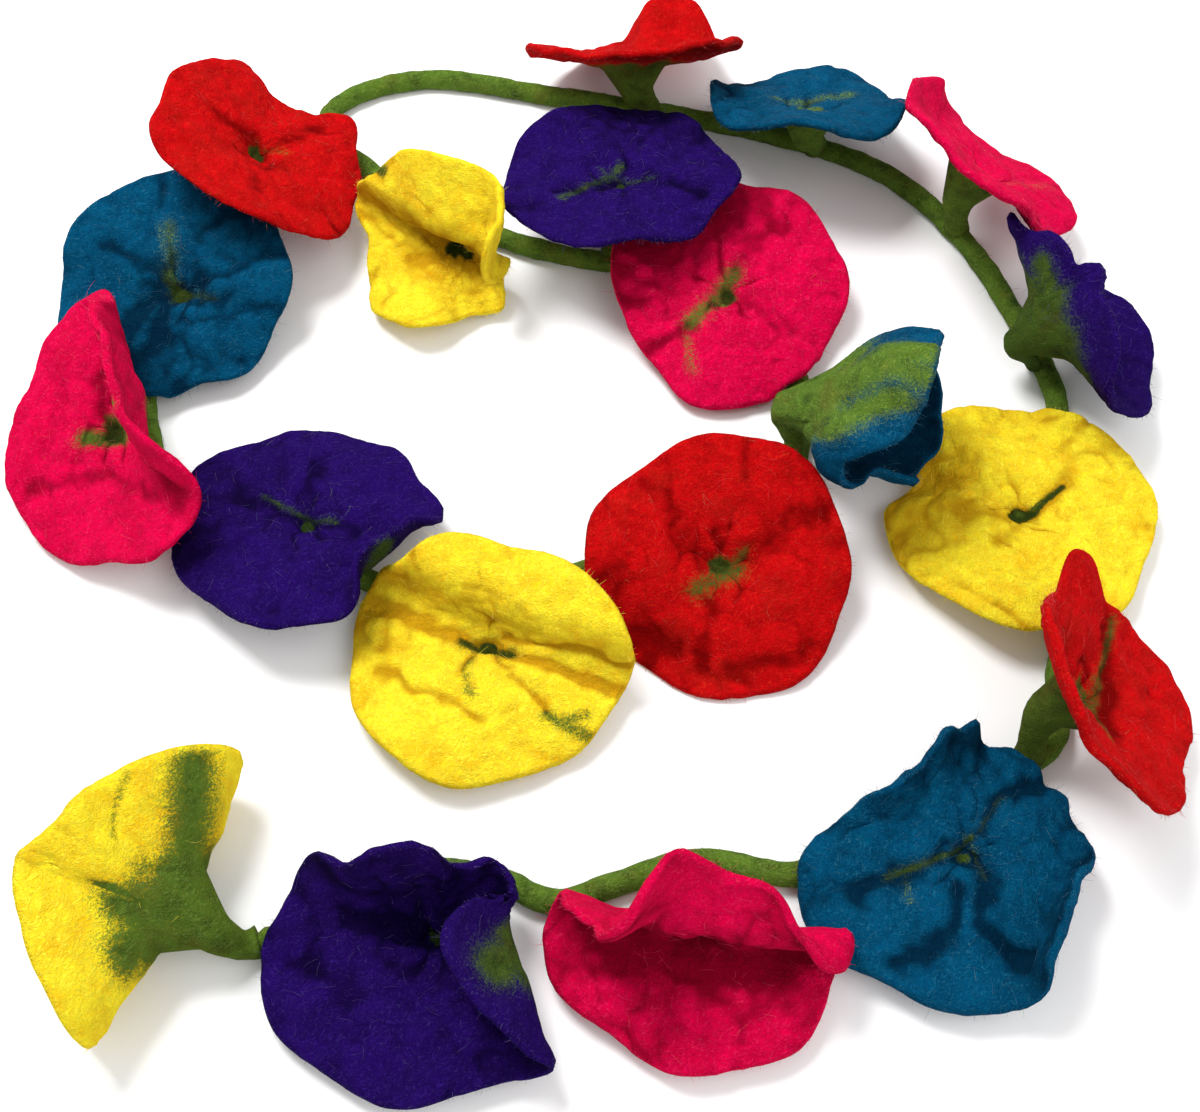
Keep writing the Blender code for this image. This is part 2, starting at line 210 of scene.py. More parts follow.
# Throat places, radii, fold distances and bend radii are in millimetres and angles in degrees. A
# bloom faces its azimuth and elevation. Toward 0 is +X and 90 is +Y. inner and rim are the felt's
# slope outside the throat and at the rim. A wave bends the felt up and down count times on its way
# round, most at toward. A lift curls the felt beyond start, a share of the radius. A fold bends the
# felt over a straight line at a distance from the throat, within reach of a place along that line.
# A lobe lets the rim out or in.
FLOWERS = (
    Flower("flower_01_red", 15, 220, 21, 92, 49, 47, 8, 6,
           (Lift(64, 34, 0.3, 40), Lobe(64, 30, 0.08), Wave(3, 80, 0, 5), Lift(0, 40, 0.6, 14))),
    Flower("flower_02_teal", 85, 192, 24, 90, 60, 42, 2, -4,
           (Wave(4, -105, 0, 9), Lift(178, 35, 0.6, 20), Lift(90, 90, 0.2, 8))),
    Flower("flower_03_pink", 145, 152, 30, 36, 50, 46, 9, 4,
           (Lift(140, 45, 0.5, 36), Lift(-50, 45, 0.5, -25), Lobe(-50, 40, -0.14),
            Wave(4, 200, 0, 6))),
    Flower("flower_04_purple", 161, 81, 25, 14, 34, 47, 22, 30,
           (Lobe(194, 60, -0.22), Lobe(60, 34, -0.12), Lobe(148, 34, -0.2), Lobe(-20, 50, 0.06),
            Lobe(106, 20, 0.08), Wave(2, 104, -14, -22), Wave(3, 60, 0, 6),
            Lift(194, 88, 0.3, 28))),
    Flower("flower_05_yellow", 149, 12, 9, 90, 87, 50, -2, -10,
           (Wave(3, 20, 0, 6), Wave(2, 90, 0, 5), Lobe(150, 30, -0.25))),
    Flower("flower_06_red", 149, -70, 32, 4, 47, 50, 12, 12,
           (Lobe(58, 34, -0.2), Lobe(136, 40, -0.3), Lobe(-50, 46, -0.1), Lobe(6, 40, -0.02),
            Lobe(-104, 30, 0.02), Lobe(196, 34, 0.08), Wave(3, -40, 0, 3),
            Lift(180, 75, 0.4, 14), Lift(-100, 36, 0.5, 24))),
    Flower("flower_07_teal", 115, -114, 9, -90, 88, 51, -3, -11,
           (Wave(3, 250, 0, 5), Lobe(-4, 54, -0.24), Lobe(54, 28, -0.21), Lobe(84, 22, -0.14),
            Lobe(106, 28, -0.1), Lobe(140, 46, -0.24), Lobe(195, 40, 0.08),
            Fold(128, 14, 18, 70, -11, 44), Fold(-30, 20, 16, 100, -8, 40))),
    Flower("flower_08_pink", 29, -135, 9, -90, 88, 48, -4, -12,
           (Lobe(50, 44, -0.18), Lobe(-100, 60, -0.06), Lobe(150, 36, -0.16),
            Fold(34, 30, 18, 108, 0, 200), Fold(82, -8, 14, 124, 0, 200),
            Fold(82, 8, 14, -64, -7, 34))),
    Flower("flower_09_purple", -51, -140, 9, -120, 87, 52, -4, -10,
           (Lobe(-14, 50, 0.14), Lobe(52, 50, -0.4), Lobe(105, 50, -0.12), Lobe(150, 36, -0.12),
            Lobe(190, 40, 0.06), Lobe(-90, 50, -0.07), Fold(14, 18, 16, 140, 0, 200),
            Fold(100, 4, 16, 84, 0, 46))),
    Flower("flower_10_yellow", -123, -136, 18, 155, 12, 53, 42, 44,
           (Wave(2, -25, 30, 28), Wave(4, -25, -10, -8), Wave(3, 60, 0, 8), Lobe(245, 50, -0.1),
            Lobe(65, 40, -0.05))),
    Flower("flower_11_red", -135, 166, 29, 9, 58, 47, 6, 0,
           (Wave(3, 150, 0, 8), Lobe(76, 34, -0.3), Lobe(5, 40, -0.1), Lobe(165, 40, -0.08))),
    Flower("flower_12_teal", -161, 107, 14, -90, 72, 47, 4, -4,
           (Wave(3, 20, 0, 6), Wave(5, 0, 0, 5), Lobe(110, 60, 0.1), Lobe(-45, 60, -0.14))),
    Flower("flower_13_pink", -173, 40, 17, 215, 66, 51, 4, 0,
           (Wave(3, 70, 0, 6), Lobe(112, 36, 0.12), Lobe(180, 60, -0.14), Lobe(-50, 40, 0.14),
            Fold(15, 6, 18, 78, 12, 66))),
    Flower("flower_14_purple", -103, 6, 10, 95, 79, 49, 0, -8,
           (Wave(3, 30, 0, 5), Lobe(45, 40, -0.12), Fold(-35, 24, 18, 95, 0, 30))),
    Flower("flower_15_yellow", -38, -41, 9, -90, 88, 50, -4, -10,
           (Wave(3, 0, 0, 6), Lobe(95, 80, -0.16), Fold(69, 0, 12, 75, 0, 200),
            Fold(69, 16, 14, -50, 0, 200))),
    Flower("flower_16_red", 41, -12, 13, -90, 66, 47, 4, -6,
           (Wave(3, 60, 0, 6), Wave(4, 0, 0, 5))),
    Flower("flower_17_teal", 74, 41, 33, -22, 14, 52, 2, 92,
           (Wave(2, -22, 16, 2), Wave(4, -22, -4, -8), Wave(3, -60, 0, 8), Lobe(-100, 56, -0.32),
            Lobe(158, 40, 0.08), Lobe(100, 40, 0.06), Lobe(-30, 36, -0.04))),
    Flower("flower_18_pink", 49, 111, 10, -80, 78, 47, 2, -6,
           (Wave(3, 30, 0, 5), Wave(2, 0, 0, 5), Lobe(90, 60, 0.14), Lobe(-90, 60, 0.06),
            Lobe(215, 40, -0.08))),
    Flower("flower_19_purple", 8, 151, 28, 90, 82, 47, 2, -4,
           (Wave(3, 10, 0, 7), Wave(5, 60, 0, 6), Lobe(-55, 50, -0.14))),
    Flower("flower_20_yellow", -56, 136, 8, -90, 88, 45, -3, -10,
           (Wave(4, 250, 0, 12), Lobe(-55, 60, -0.22), Lobe(-26, 34, -0.26), Lobe(148, 26, 0.05),
            Lobe(190, 36, -0.14), Fold(-5, 20, 14, 82, 0, 200), Fold(60, -7, 14, 124, 0, 200),
            Fold(60, 9, 14, -74, 0, 200))),
)

# The cord's route along the floor, in millimetres, from the flower at its end inwards
CORD_ROUTE = (
    (-106, -140), (-92, -136), (-74, -124), (-52, -117), (-32, -120), (-14, -127), (6, -121),
    (30, -114), (63, -118), (84, -106), (108, -92), (134, -84), (150, -73), (154, -54),
    (160, -28), (166, 12), (171, 48), (171, 75), (161, 110), (145, 148), (122, 178), (95, 195),
    (60, 208), (17, 219), (-26, 228), (-50, 234), (-74, 237), (-99, 231), (-115, 217),
    (-113, 198), (-98, 185), (-74, 165), (-37, 145), (-10, 136), (20, 130), (44, 126), (61, 114),
    (71, 92), (76, 70), (74, 47), (69, 26), (58, 10), (40, 3), (18, 0), (-8, -10),
    (-36, -22), (-66, -18), (-88, -10), (-112, -8), (-134, 2), (-152, 18), (-163, 38),
    (-170, 60), (-173, 82), (-173, 104), (-164, 126), (-149, 146), (-138, 160),
)

# Wool colours, from the shadows to the raised fibres. The accent is carded in as blotches.
# green_dark darkens that flower colour's green wool toward GREEN_DEEP, partly as painted shade
WOOLS = {
    "red": Wool((0.12, 0.0, 0.0), (0.26, 0.0005, 0.001), (0.55, 0.002, 0.004),
                (0.66, 0.008, 0.008), (0.29, 0.012, 0.005), 0.35, 0.45),
    "teal": Wool((0.0, 0.007, 0.020), (0.0, 0.020, 0.054), (0.0, 0.064, 0.148),
                 (0.003, 0.112, 0.225), (0.0, 0.076, 0.152), 0.35, 0.0),
    "pink": Wool((0.16, 0.0, 0.008), (0.40, 0.0, 0.023), (0.74, 0.0, 0.058),
                 (0.84, 0.006, 0.10), (0.58, 0.001, 0.030), 0.35, 0.2),
    "purple": Wool((0.002, 0.0005, 0.012), (0.005, 0.001, 0.034), (0.014, 0.002, 0.094),
                   (0.032, 0.007, 0.165), (0.011, 0.003, 0.075), 0.35, 0.55),
    "yellow": Wool((0.46, 0.21, 0.002), (0.80, 0.44, 0.005), (0.97, 0.77, 0.020),
                   (1.0, 0.90, 0.060), (0.90, 0.46, 0.004), 0.7, 0.3),
}
# GREEN_DEEP is the painted shade of green wool, and the darker green that green_dark mixes in
GREEN_DEEP = (0.008, 0.016, 0.003)
GREEN_DARK = (0.020, 0.046, 0.006)
GREEN_MAIN = (0.082, 0.165, 0.015)
GREEN_LIGHT = (0.20, 0.29, 0.05)
OLIVE = (0.16, 0.13, 0.02)

# Noises in the wool: a wavelength in millimetres, a detail and, where it isn't usual, a roughness.
# The streaks' sizes are in millimetres too, and their turns in degrees.
BLOTCHES = (9.0, 4)
SPECKLES = (1.2, 4, 0.7)
ACCENTS = (14.0, 5, 0.65)
GREEN_BLOTCHES = (6.0, 4)
BUMPS = (3.2, 3)
LIGHT_FIBRES = (4.0, 1)
GREEN_FIBRES = (11.0, 2)
PAPER_CLOUDS = (60.0, 3)
STREAK_SIZE = (5.0, 0.45, 0.45)
STREAK_BEND = 5.0
STREAK_SWAY = 3.5
STREAK_TURNS = ((0, 0, 10), (20, 0, 75), (-20, 30, 130), (60, 20, 40))

# From where to where a value counts, how strongly it shows, and for FRAYED the middle of a pattern
# and how far it moves the edge of the green wool
BLOTCH_RANGE = (0.35, 0.62)
SPECKLE_RANGE = (0.55, 0.3)
ACCENT_RANGE = (0.50, 0.66)
GREEN_RANGE = (0.2, 0.6)
STREAK_RANGE = (0.52, 0.72)
STAIN_RANGE = (0.15, 0.9)
DENT_RANGE = (0.1, 1.2)
DEEP_RANGE = (0.3, 0.7)
FIBRE_RANGE = (0.62, 0.68)
BLOTCH_CALM = 0.45
SPECKLE_SHARE = 0.5
STREAK_SHARE = 0.5
GREEN_STREAK_SHARE = 0.55
OLIVE_SHARE = 0.3
DENT_SHARE = 0.8
GREEN_FIBRE_SHARE = 0.5
FRAYED_BY_STREAKS = (0.35, 0.35)
FRAYED_BY_SPECKLES = (0.5, 0.7)

# Heights of the bump, its distance in metres, and what the shaders' own sockets are set to
STREAK_HEIGHT = 0.35
SPECKLE_HEIGHT = 0.9
BUMP_HEIGHT = 1.6
BUMP_DISTANCE = 0.75 * MM
FELT_SURFACE = {"Roughness": 0.95, "Specular IOR Level": 0.03, "Sheen Weight": 0.05,
                "Sheen Roughness": 0.4}
FIBRE_SURFACE = {"Roughness": 0.8, "Sheen Weight": 0.2}
PAPER_SURFACE = {"Roughness": 0.7}

# Marks read from the photograph, by the flower's number: how many millimetres wide to each
# side, how strong, and a path in columns and rows of its pixels. A crease is a valley in the felt,
# so many millimetres deep, and a stain is a streak of green wool, from faint at 0 to full at 1. A
# mark lies on whichever side of the flower's felt shows there.
CREASES = {
    5: ((5, 1.3, (965, 510), (1010, 520)), (5, 1.9, (1030, 517), (1068, 485)),
        (4.5, 1.1, (1020, 525), (1000, 545))),
    6: ((5, 1.7, (1105, 630), (1110, 690), (1112, 730)),),
    7: ((4.6, 1.7, (972, 840), (920, 867), (857, 890)),
        (4.6, 1.7, (980, 830), (997, 800), (1043, 787)),
        (4.6, 1.7, (977, 857), (990, 880), (980, 923), (1020, 960)),
        (4.6, 1.7, (963, 890), (957, 923), (923, 953), (900, 957))),
    8: ((5, 1.1, (610, 960), (700, 975), (780, 975)),),
    9: ((5, 1.9, (351, 917), (400, 925), (430, 935)), (5, 1, (300, 960), (360, 1000))),
    11: ((5, 1.4, (222, 118), (262, 148)), (5, 1.2, (268, 150), (320, 128)),
         (5, 1, (262, 152), (250, 195))),
    12: ((5, 1.4, (165, 285), (125, 330)), (5, 1.2, (172, 292), (220, 300)),
         (5, 1.2, (168, 290), (160, 345)), (5, 1.1, (165, 275), (110, 250))),
    13: ((5, 1.1, (30, 488), (100, 478), (175, 497)), (4.6, 1.5, (108, 435), (100, 380))),
    14: ((5, 1.3, (240, 500), (300, 518), (350, 530)), (5, 1.1, (320, 465), (305, 512))),
    15: ((3.4, 2, (368, 610), (405, 615), (445, 633), (505, 653), (578, 677), (612, 693)),
         (3.2, 1.4, (520, 640), (580, 650), (630, 668)), (3.2, 1.1, (378, 670), (478, 720)),
         (3, 1.2, (512, 675), (548, 708))),
    16: ((5, 1.3, (731, 667), (804, 653)), (5, 1.2, (640, 640), (675, 655)),
         (6, 1, (648, 482), (700, 560)), (6, 1, (740, 560), (820, 515)),
         (5.5, 1.1, (715, 592), (700, 660))),
    18: ((5, 1.2, (735, 272), (775, 225)), (5, 1.2, (690, 330), (645, 350)),
         (5, 1, (730, 300), (790, 330))),
    19: ((5, 1.1, (560, 192), (612, 186)), (5, 1.1, (645, 180), (700, 195))),
    20: ((4.5, 1.5, (430, 238), (470, 252)), (4.5, 1.1, (410, 262), (450, 262))),
}

STAINS = {
    2: ((3.5, 0.55, (775, 100), (850, 98)),),
    3: ((3, 0.28, (980, 165), (1050, 190)),),
    4: ((9, 1, (1050, 285), (1065, 345)), (7, 0.9, (1045, 265), (1050, 285)),
        (6, 0.9, (1070, 345), (1085, 375))),
    5: ((2.6, 1, (1008, 520), (1035, 515)), (2, 0.9, (1035, 512), (1062, 490))),
    6: ((3, 0.65, (1108, 620), (1110, 740)),),
    7: ((2.2, 0.65, (972, 837), (930, 862), (890, 878)), (2.2, 0.45, (980, 830), (1000, 800)),
        (2, 0.5, (975, 850), (985, 880)), (1.6, 0.4, (907, 880), (911, 905))),
    9: ((7, 1, (490, 968), (512, 956)), (6, 1, (505, 940), (520, 975))),
    10: ((9, 1, (120, 905), (205, 920)), (8, 1, (125, 955), (190, 900)),
         (5, 1, (105, 885), (150, 905)), (7.5, 1, (190, 765), (187, 860)),
         (1.8, 0.6, (124, 775), (116, 800), (112, 840))),
    11: ((3, 0.4, (254, 145), (286, 155)),),
    12: ((4.2, 0.5, (170, 230), (172, 265)), (4, 0.65, (168, 275), (178, 300)),
         (2.4, 0.5, (184, 292), (214, 300))),
    13: ((4.5, 1, (88, 440), (125, 435)), (2.2, 0.8, (108, 420), (112, 400))),
    14: ((1.8, 0.55, (265, 500), (338, 524)), (5, 1, (365, 570), (380, 545))),
    15: ((3.4, 0.8, (462, 646), (512, 656)), (2.6, 0.55, (478, 653), (465, 673), (472, 695)),
         (3, 0.75, (546, 716), (588, 739)), (2.4, 0.6, (553, 722), (586, 716))),
    16: ((4.8, 0.7, (696, 590), (738, 572)), (3, 0.6, (735, 566), (745, 550))),
    17: ((14, 1, (840, 390), (925, 352)), (9, 0.95, (830, 430), (895, 400)),
         (8, 0.9, (870, 362), (925, 378))),
    18: ((4.6, 0.75, (690, 325), (735, 275)), (3.4, 0.45, (688, 340), (692, 368))),
    19: ((2.2, 0.6, (560, 200), (620, 168)), (1.8, 0.45, (600, 172), (655, 180))),
    20: ((3, 1, (450, 250), (474, 254)), (3, 0.9, (380, 170), (385, 173))),
}

# How far the green wool reaches from each flower's throat, on the front and on the back, in
# millimetres. It is solid up to GREEN_SOLID of that, fades over GREEN_FADE of it, and is
# FRONT_GREEN full in front.
THROAT_GREEN = (3, 6, 3, 5, 5, 7, 2, 3, 0.5, 6, 3, 3, 7, 1.5, 4, 5, 6, 5, 2, 7)
CALYX_GREEN = (20, 22, 20, 30, 20, 20, 20, 20, 20, 26, 20, 20, 20, 20, 20, 20, 30, 20, 20, 20)
GREEN_SOLID = 0.6
GREEN_FADE = 0.7
FRONT_GREEN = 0.85


def ease(value):
    """A smooth step from 0 to 1."""
    value = np.clip(value, 0, 1)
    return value * value * (3 - 2 * value)


def noise_at(points, wavelength, seed):
    """Smooth noise from -1 to 1 at points in millimetres."""
    shift = Vector([seed * part for part in SEED_SHIFT])
    flat = points.reshape(-1, points.shape[-1]) / wavelength
    values = [noise.noise(Vector(point) + shift) for point in flat]
    return np.array(values).reshape(points.shape[:-1])


def between(line, count):
    """Points at even steps along a line through given points."""
    run = np.concatenate(([0], np.cumsum(np.linalg.norm(np.diff(line, axis=0), axis=1))))
    wanted = np.linspace(0, run[-1], count)
    return np.column_stack([np.interp(wanted, run, line[:, axis]) for axis in range(3)])


def cord_points(count):
    """Points at even steps along a smooth curve through the cord's route."""
    route = np.array([(x, y, CORD_DIAMETER / MM / 2) for x, y in CORD_ROUTE]) * MM - MIDDLE
    ends = np.vstack((2 * route[0] - route[1], route, 2 * route[-1] - route[-2]))
    fine = []
    for before, start, end, after in zip(ends, ends[1:], ends[2:], ends[3:]):
        for share in np.linspace(0, 1, CURVE_STEPS, endpoint=False):
            fine.append(0.5 * (2 * start + (end - before) * share
                               + (2 * before - 5 * start + 4 * end - after) * share ** 2
                               + (3 * start - before - 3 * end + after) * share ** 3))
    return between(np.array(fine + [route[-1]]), count)


def ground(x, y, cord):
    """Height of what the felt lies on: the floor, rising over the cord."""
    gaps = np.stack([np.hypot(x - px, y - py) for px, py, _ in cord]).min(axis=0)
    return (CORD_DIAMETER + COVER) * (1 - ease((gaps - RIDGE_TOP) / (RIDGE_FOOT - RIDGE_TOP)))


def unit(vectors):
    """The same directions, one long."""
    return vectors / np.linalg.norm(vectors, axis=-1, keepdims=True)


def rows(flower, kind):
    """The rows of one kind in a flower's shape."""
    return [row for row in flower.shape if isinstance(row, kind)]


def window(turn, row):
    """How much a row acts in a direction: fully toward its own, and nothing past its spread."""
    off = (turn - math.radians(row.toward) + math.pi) % math.tau - math.pi
    return ease(WINDOW_EDGE * (1 - np.abs(off) / math.radians(row.spread)))


def felt_slope(flower, share, turn):
    """Angle in radians between the felt and the plane across the bloom's axis."""
    along = share * flower.radius * MM / NECK
    throat = FUNNEL_SLOPE * along * np.exp(1 - along)
    opened = ease(share / OPEN_SHARE)
    angle = throat + opened * (flower.inner * (1 - share) + flower.rim * share)
    for wave in rows(flower, Wave):
        turned = np.cos(wave.count * (turn - math.radians(wave.toward)))
        angle = angle + opened * (wave.inner * (1 - share) + wave.rim * share) * turned
    for lift in rows(flower, Lift):
        angle = angle + lift.angle * window(turn, lift) * ease((share - lift.start) / LIFT_SHARE)
    return np.radians(angle)


def folded(flower, points):
    """Points of the bloom, bent over its fold lines, all folds of one direction together."""
    folds = rows(flower, Fold)
    level = np.median(points[..., 2])
    for toward in dict.fromkeys(fold.toward for fold in folds):
        group = [fold for fold in folds if fold.toward == toward]
        turn = math.radians(toward)
        over = np.array((math.cos(turn), math.sin(turn), 0))
        side = np.array((-math.sin(turn), math.cos(turn), 0))
        first = min(fold.at for fold in group) * MM
        along, past = points @ side, np.maximum(points @ over - first, 0)

        def angle(distance):
            """Slope of the bend at a distance past the first fold line."""
            return sum(math.radians(fold.angle)
                       * ease(WINDOW_EDGE * (1 - np.abs(along / MM - fold.along) / fold.reach))
                       * ease((distance / MM + first / MM - fold.at) / fold.bend)
                       for fold in group)

        middles = [angle(past * (step + 0.5) / BEND_STEPS) for step in range(BEND_STEPS)]
        reached = sum(np.cos(slope) for slope in middles) * past / BEND_STEPS
        raised = sum(np.sin(slope) for slope in middles) * past / BEND_STEPS
        slope, height = angle(past), points[..., 2] - level
        points = points + (reached - past - height * np.sin(slope))[..., None] * over
        points[..., 2] = level + raised + height * np.cos(slope)
    return points


def flower_axes(flower):
    """The bloom's own X and Y across its axis, and the axis itself, as world directions."""
    azimuth, elevation = math.radians(flower.azimuth), math.radians(flower.elevation)
    axis = Vector((math.cos(elevation) * math.cos(azimuth),
                   math.cos(elevation) * math.sin(azimuth), math.sin(elevation)))
    turn = Vector((0, 0, 1)).rotation_difference(axis).to_matrix()
    return np.array(turn.col[0]), np.array(turn.col[1]), np.array(axis)


def normals_of(place, axis):
    """Unit normals of the felt, and the bloom's axis where its lines meet in one point."""
    outward = np.gradient(place, axis=0)
    around = np.roll(place, -1, axis=1) - np.roll(place, 1, axis=1)
    normal = np.cross(outward, around)
    length = np.linalg.norm(normal, axis=-1, keepdims=True)
    return np.where(length > TINY, normal / np.maximum(length, TINY), axis)


def flat_places(flower):
    """Share and turn of each grid point, and its place on the unfolded felt in millimetres."""
    share = np.linspace(0, 1, FELT_STEPS + 1)[:, None]
    turn = (np.arange(FELT_TURNS) * math.tau / FELT_TURNS)[None, :]
    out = share * flower.radius
    flat = np.stack((out * np.cos(turn), out * np.sin(turn), 0 * out * turn), axis=-1)
    return share, turn, flat


def in_photo(place):
    """Where places show in the photograph, in pixels, how deep they lie, and the lines to them."""
    seen = place + MIDDLE - CAMERA_BACK * CAMERA_DISTANCE
    depth = -seen @ CAMERA_BACK
    column = PHOTO_WIDTH / 2 + CAMERA_FOCUS * seen[..., 0] / depth
    row = PHOTO_HEIGHT / 2 - CAMERA_FOCUS * (seen @ CAMERA_UP) / depth
    return np.stack((column, row), axis=-1), depth, seen


def streaks_on(marks, place, normal, flat):
    """Straight streaks on the unfolded felt, for marks at places in the photograph.

    A pixel's place is the nearest point of the felt, the upper one where the felt lies double.
    """
    pixels, depth, seen = in_photo(place)
    faces_camera = (normal * seen).sum(axis=-1) < 0
    streaks = []
    for width, strength, *path in marks:
        spots = []
        for pixel in path:
            gap = np.linalg.norm(pixels - np.array(pixel), axis=-1)
            near = gap < gap.min() + SAME_SPOT
            top = near & (depth < depth[near].min() + 2 * FELT)
            spots.append(np.unravel_index(np.argmin(np.where(top, gap, np.inf)), gap.shape))
        streaks += [Streak(flat[start][:2], flat[end][:2], faces_camera[start], width, strength)
                    for start, end in zip(spots, spots[1:])]
    return streaks


def under_streak(flat, streak):
    """How much a streak acts at each place on the unfolded felt, from 0 to 1."""
    reach = streak.end - streak.start
    offset = flat[..., :2] - streak.start
    share = np.clip(offset @ reach / max(reach @ reach, TINY), 0, 1)
    gap = np.linalg.norm(offset - share[..., None] * reach, axis=-1)
    return np.exp(-(gap / streak.width) ** 2)


def wrinkled(flat, seed):
    """Depth in millimetres of the winding valleys that shrinking leaves in the felt."""
    depth = 0
    for wavelength, deepest in WRINKLES:
        winding = noise_at(flat, wavelength, seed + WRINKLE_SEED)
        valley = np.exp(-(winding / WRINKLE_WIDTH) ** 2)
        patches = noise_at(flat, WRINKLE_PATCH * wavelength, seed + WRINKLE_PATCH_SEED)
        depth = depth + deepest * valley * ease(0.5 + WRINKLE_EDGE * patches)
    return depth


def smoothed(values, reach):
    """Values averaged over the grid places within reach of each one."""
    padded = np.pad(values, ((reach, reach), (0, 0)), mode="edge")
    outward = sum(padded[step:step + len(values)] for step in range(2 * reach + 1))
    both = sum(np.roll(outward, step, axis=1) for step in range(-reach, reach + 1))
    return both / (2 * reach + 1) ** 2


def solids_tree():
    """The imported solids, as one tree to cast rays at."""
    points, faces = [], []
    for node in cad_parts.values():
        first = len(points)
        points += [vertex.co.copy() for vertex in node.data.vertices]
        faces += [[first + corner for corner in face.vertices] for face in node.data.polygons]
    return BVHTree.FromPolygons(points, faces)


def sheltered(place, normal, tree):
    """Share of the rays from each place that meet felt, on a coarse grid drawn out to the full."""
    rng = np.random.default_rng(SHELTER_SEED)
    spread = SHELTER_SPREAD * unit(rng.normal(size=(SHELTER_RAYS, 3)))
    lines = np.arange(0, FELT_STEPS + 1, SHELTER_STEP)
    columns = np.arange(0, FELT_TURNS, SHELTER_STEP)
    hidden = np.zeros((len(lines), len(columns)))
    for i, line in enumerate(lines):
        for j, column in enumerate(columns):
            outward = normal[line, column]
            start = Vector(place[line, column] + SHELTER_START * outward)
            hits = sum(tree.ray_cast(start, Vector(outward + aside), SHELTER_REACH)[0] is not None
                       for aside in spread)
            hidden[i, j] = hits / SHELTER_RAYS
    hidden[0] = hidden[0].mean()
    wide = np.concatenate((hidden, hidden[:, :1]), axis=1)
    drawn = [np.interp(np.arange(FELT_TURNS), np.append(columns, FELT_TURNS), line)
             for line in wide]
    every = np.arange(FELT_STEPS + 1)
    full = np.stack([np.interp(every, lines, column) for column in np.array(drawn).T], axis=1)
    return smoothed(smoothed(full, 2 * SHELTER_STEP), SHELTER_STEP)


def felt_grid(flower, cord, tree, seed):
    """Middle of the felt, its normal, half its thickness, and the painted shade of its front and
    back.
    """
    share, turn, flat = flat_places(flower)
    slope = felt_slope(flower, share, turn)
    (swell, swells), (ripple, ripples) = RIM_WAVES
    stretch = 1 + swell * np.cos(swells * turn + flower.x) + ripple * np.cos(ripples * turn)
    for lobe in rows(flower, Lobe):
        stretch = stretch + lobe.stretch * window(turn, lobe)
    for wavelength, height in RAGGED_RIM:
        torn = noise_at(flat[-1:], wavelength, seed + wavelength) * height / flower.radius
        stretch = stretch + torn * ease((share - RIM_START) / (1 - RIM_START))
    step = flower.radius * MM * stretch / FELT_STEPS
    out = np.cumsum(np.cos(slope) * step, axis=0) - np.cos(slope[:1]) * step[:1]
    rise = np.cumsum(np.sin(slope) * step, axis=0) - np.sin(slope[:1]) * step[:1]
    points = folded(flower, np.stack((out * np.cos(turn), out * np.sin(turn), rise), axis=-1))
    axes = flower_axes(flower)
    place = np.array((flower.x, flower.y, flower.z)) * MM - MIDDLE + points @ np.array(axes)
    lowest = ground(place[..., 0], place[..., 1], cord) + FELT / 2
    place[..., 2] = np.maximum(place[..., 2], lowest)
    normal = normals_of(place, axes[2])
    # Painted shade: the share of rays that other felt stops darkens the colour of each side
    shelter_front = SHELTER_DARK * sheltered(place, normal, tree)
    shelter_back = SHELTER_DARK * sheltered(place, -normal, tree)
    relief = sum(noise_at(flat, wavelength, seed) * height for wavelength, height in LUMPS)
    out_mm = share * flower.radius
    sway = PLEAT_SWAY * noise_at(flat, PLEAT_WINDING, seed + PLEAT_SEED)
    pleats = 0.5 + 0.5 * np.sin(PLEATS * turn + sway)
    dents_and_shade = PLEAT_DEPTH * pleats ** 2 * np.exp(-((out_mm - PLEAT_PLACE) / PLEAT_REACH) ** 2)
    for crease in streaks_on(CREASES.get(seed + 1, ()), place, normal, flat):
        winding = flat + np.stack([noise_at(flat, CREASE_WINDING, seed + shift) * CREASE_SWAY
                                   for shift in WINDING_SEEDS], axis=-1)
        dents_and_shade = np.maximum(dents_and_shade, crease.strength * under_streak(winding, crease))
    pit = THROAT_PIT * np.exp(-(out_mm / THROAT_WIDTH) ** 2)
    wrinkles = wrinkled(flat, seed)
    relief = (relief - dents_and_shade - wrinkles) * ease(out_mm / THROAT_SMOOTH) - pit
    hollows = smoothed(relief, HOLLOW_REACH) - relief
    # Painted shade: the valleys, the throat's pit, wrinkles and hollows of the relief darken the
    # colour
    dents_and_shade = dents_and_shade + PIT_DARK * pit + WRINKLE_DARK * wrinkles + HOLLOW_DARK * hollows
    place = place + normal * relief[..., None] * MM
    thick = 1 + THICKNESS_CHANGE * noise_at(flat, THICKNESS_LUMP, seed + THICKNESS_SEED)
    round_off = np.sqrt(1 - np.clip((share - 1 + RIM_ROUND) / RIM_ROUND, 0, 1) ** 2)
    half = FELT / 2 * thick * round_off
    lowest = ground(place[..., 0], place[..., 1], cord) + half
    place[..., 2] = np.maximum(place[..., 2], lowest)
    # Full painted shade at DENT_FULL millimetres; on the back the front's valleys are ridges and
    # take shade away
    dents_and_shade = dents_and_shade / DENT_FULL
    return (place, normals_of(place, axes[2]), half, dents_and_shade + shelter_front,
            shelter_back - BACK_DARK * dents_and_shade)


def stalk_seat(throat, axis, cord):
    """Where a stalk ends, and its direction there: beside the cord, or facing one of its ends."""
    seat = throat - axis * STALK_REACH
    nearest = int(np.argmin(np.linalg.norm(cord - seat, axis=1)))
    inner = min(max(nearest, 1), len(cord) - 2)
    along = unit(cord[inner + 1] - cord[inner - 1])
    if nearest == 0:
        return cord[0] + along * WELD, -along
    if nearest == len(cord) - 1:
        return cord[-1] - along * WELD, along
    toward = throat - axis * FELT - cord[nearest]
    toward = unit(toward - along * (toward @ along))
    return cord[nearest] + toward * (CORD_DIAMETER / 2 - WELD), toward


